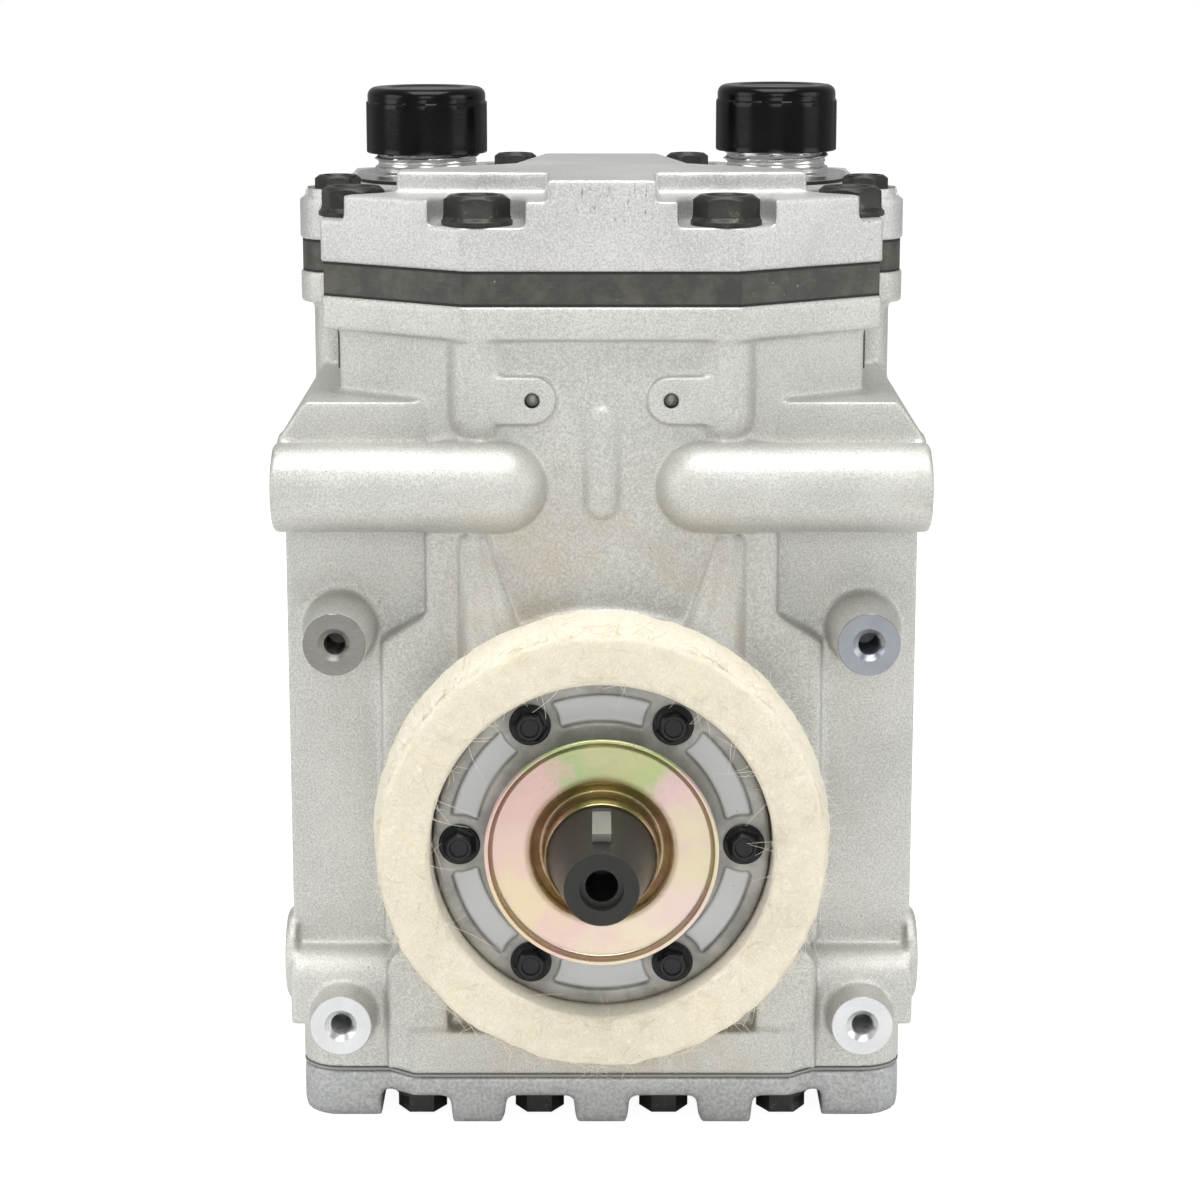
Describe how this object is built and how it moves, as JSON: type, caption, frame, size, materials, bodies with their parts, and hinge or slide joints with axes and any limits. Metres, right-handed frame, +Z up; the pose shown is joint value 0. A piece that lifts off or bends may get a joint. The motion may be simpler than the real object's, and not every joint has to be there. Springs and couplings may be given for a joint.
{
  "type": "air conditioning compressor",
  "caption": "Belt driven piston compressor with a boxy cast aluminium body, a bolted head with capped ports, a felt ring and a tapered keyed shaft.",
  "frame": {"origin": "centre of the rest face under the middle rib of the base plate", "axes": "+Z up along the cylinders, -Y towards the driven end of the shaft, +X across the body to the right as seen from the shaft end"},
  "size_m": [0.1482, 0.208, 0.2252],
  "materials": {
    "cast_alloy": "blasted casting",
    "base_alloy": "fine casting",
    "plate_alloy": "dark casting",
    "sleeve_iron": "honed",
    "gasket": "fibre sheet",
    "dark_bolt": "black oxide",
    "valve_steel": "oily grey",
    "spring_steel": "ground",
    "port_steel": "machined",
    "washer_rubber": "plain",
    "cap_plastic": "satin black",
    "felt": "wool felt",
    "seal_face": "lapped",
    "zinc_sheet": "yellow zinc",
    "shaft_steel": "dark phosphate",
    "bright_steel": "ground bright",
    "plug_brass": "turned",
    "piston_alloy": "turned",
    "rod_alloy": "forged"
  },
  "bodies": {
    "root": {"crankcase": "cast_alloy", "cylinder_sleeve_front": "sleeve_iron", "cylinder_sleeve_rear": "sleeve_iron", "base_plate": "base_alloy", "base_gasket": "gasket", "base_bolts": "dark_bolt", "valve_plate": "valve_steel", "plate_gasket": "gasket", "head_gasket": "gasket", "cylinder_head": "cast_alloy", "head_bolts_large": "dark_bolt", "head_bolts_small": "dark_bolt", "reed_stops": "spring_steel", "reed_rivets": "spring_steel", "suction_fitting": "port_steel", "discharge_fitting": "port_steel", "sealing_washers": "washer_rubber", "seal_plate": "plate_alloy", "seal_plate_bolts": "dark_bolt", "seal_plate_o_ring": "washer_rubber", "felt_ring": "felt", "seal_seat": "seal_face", "front_bearing_outer": "bright_steel", "rear_bearing_outer": "bright_steel", "rear_cover": "base_alloy", "rear_cover_o_ring": "washer_rubber", "rear_cover_bolts": "dark_bolt", "oil_plug": "port_steel"},
    "crank": {"crankshaft": "shaft_steel", "shaft_key": "bright_steel", "slinger": "zinc_sheet", "seal_nose": "seal_face", "seal_shell": "spring_steel", "seal_spring": "spring_steel", "front_bearing_inner": "bright_steel", "rear_bearing_inner": "bright_steel"},
    "front_cage": {"front_bearing_balls": "bright_steel"},
    "rear_cage": {"rear_bearing_balls": "bright_steel"},
    "plug_front": {"web_plug_front": "plug_brass"},
    "piston_set_front": {"piston_front": "piston_alloy", "piston_rings_front": "sleeve_iron", "wrist_pin_front": "bright_steel", "con_rod_front": "rod_alloy"},
    "big_end_set_front": {"big_end_front": "rod_alloy", "rod_cap_front": "rod_alloy", "rod_bolts_front": "dark_bolt"},
    "plug_rear": {"web_plug_rear": "plug_brass"},
    "piston_set_rear": {"piston_rear": "piston_alloy", "piston_rings_rear": "sleeve_iron", "wrist_pin_rear": "bright_steel", "con_rod_rear": "rod_alloy"},
    "big_end_set_rear": {"big_end_rear": "rod_alloy", "rod_cap_rear": "rod_alloy", "rod_bolts_rear": "dark_bolt"},
    "suction_cap_set": {"suction_cap": "cap_plastic"},
    "discharge_cap_set": {"discharge_cap": "cap_plastic"},
    "suction_reed_front_set": {"suction_reed_front": "spring_steel"},
    "suction_reed_rear_set": {"suction_reed_rear": "spring_steel"},
    "discharge_reed_front_set": {"discharge_reed_front": "spring_steel"},
    "discharge_reed_rear_set": {"discharge_reed_rear": "spring_steel"}
  },
  "joints": [
    {"name": "crank_spin", "type": "hinge", "parent": "root", "child": "crank", "pos_m": [0, -0.06, 0.0675], "axis": [0, 1, 0], "continuous": true},
    {"name": "front_cage_turn", "type": "hinge", "parent": "root", "child": "front_cage", "pos_m": [0, -0.0585, 0.0675], "axis": [0, 1, 0], "continuous": true},
    {"name": "rear_cage_turn", "type": "hinge", "parent": "root", "child": "rear_cage", "pos_m": [0, 0.06, 0.0675], "axis": [0, 1, 0], "continuous": true},
    {"name": "front_plug_turn", "type": "hinge", "parent": "crank", "child": "plug_front", "pos_m": [0, -0.04175, 0.07935], "axis": [0, 1, 0], "continuous": true},
    {"name": "front_piston_travel", "type": "hinge", "parent": "plug_front", "child": "piston_set_front", "pos_m": [0, -0.0275, 0.0912], "axis": [0, 1, 0], "continuous": true},
    {"name": "front_big_end_turn", "type": "hinge", "parent": "crank", "child": "big_end_set_front", "pos_m": [0, -0.0275, 0.0912], "axis": [0, 1, 0], "continuous": true},
    {"name": "rear_plug_turn", "type": "hinge", "parent": "crank", "child": "plug_rear", "pos_m": [0, 0.04475, 0.05565], "axis": [0, 1, 0], "continuous": true},
    {"name": "rear_piston_travel", "type": "hinge", "parent": "plug_rear", "child": "piston_set_rear", "pos_m": [0, 0.0305, 0.0438], "axis": [0, 1, 0], "continuous": true},
    {"name": "rear_big_end_turn", "type": "hinge", "parent": "crank", "child": "big_end_set_rear", "pos_m": [0, 0.0305, 0.0438], "axis": [0, 1, 0], "continuous": true},
    {"name": "suction_cap_lift", "type": "slide", "parent": "root", "child": "suction_cap_set", "axis": [0, 0, 1], "range_m": [0, 0.08]},
    {"name": "discharge_cap_lift", "type": "slide", "parent": "root", "child": "discharge_cap_set", "axis": [0, 0, 1], "range_m": [0, 0.08]},
    {"name": "suction_reed_front_flex", "type": "hinge", "parent": "root", "child": "suction_reed_front_set", "pos_m": [-0.009, -0.0455, 0.1835], "axis": [-1, 0, 0], "range_deg": [0, 2.5], "stiffness_Nm_per_rad": 0.05, "springref_deg": -2.86},
    {"name": "suction_reed_rear_flex", "type": "hinge", "parent": "root", "child": "suction_reed_rear_set", "pos_m": [-0.009, 0.0125, 0.1835], "axis": [-1, 0, 0], "range_deg": [0, 2.5], "stiffness_Nm_per_rad": 0.05, "springref_deg": -2.86},
    {"name": "discharge_reed_front_flex", "type": "hinge", "parent": "root", "child": "discharge_reed_front_set", "pos_m": [0.009, -0.0455, 0.1899], "axis": [1, 0, 0], "range_deg": [0, 2.5], "stiffness_Nm_per_rad": 0.05, "springref_deg": -2.86},
    {"name": "discharge_reed_rear_flex", "type": "hinge", "parent": "root", "child": "discharge_reed_rear_set", "pos_m": [0.009, 0.0125, 0.1899], "axis": [1, 0, 0], "range_deg": [0, 2.5], "stiffness_Nm_per_rad": 0.05, "springref_deg": -2.86}
  ],
  "couplings": [
    {"joint": "front_cage_turn", "follows": "crank_spin", "ratio": 0.397},
    {"joint": "rear_cage_turn", "follows": "crank_spin", "ratio": 0.397},
    {"joint": "front_plug_turn", "follows": "crank_spin", "ratio": -2},
    {"joint": "front_piston_travel", "follows": "crank_spin", "ratio": 1},
    {"joint": "front_big_end_turn", "follows": "crank_spin", "ratio": -1},
    {"joint": "rear_plug_turn", "follows": "crank_spin", "ratio": -2},
    {"joint": "rear_piston_travel", "follows": "crank_spin", "ratio": 1},
    {"joint": "rear_big_end_turn", "follows": "crank_spin", "ratio": -1}
  ]
}
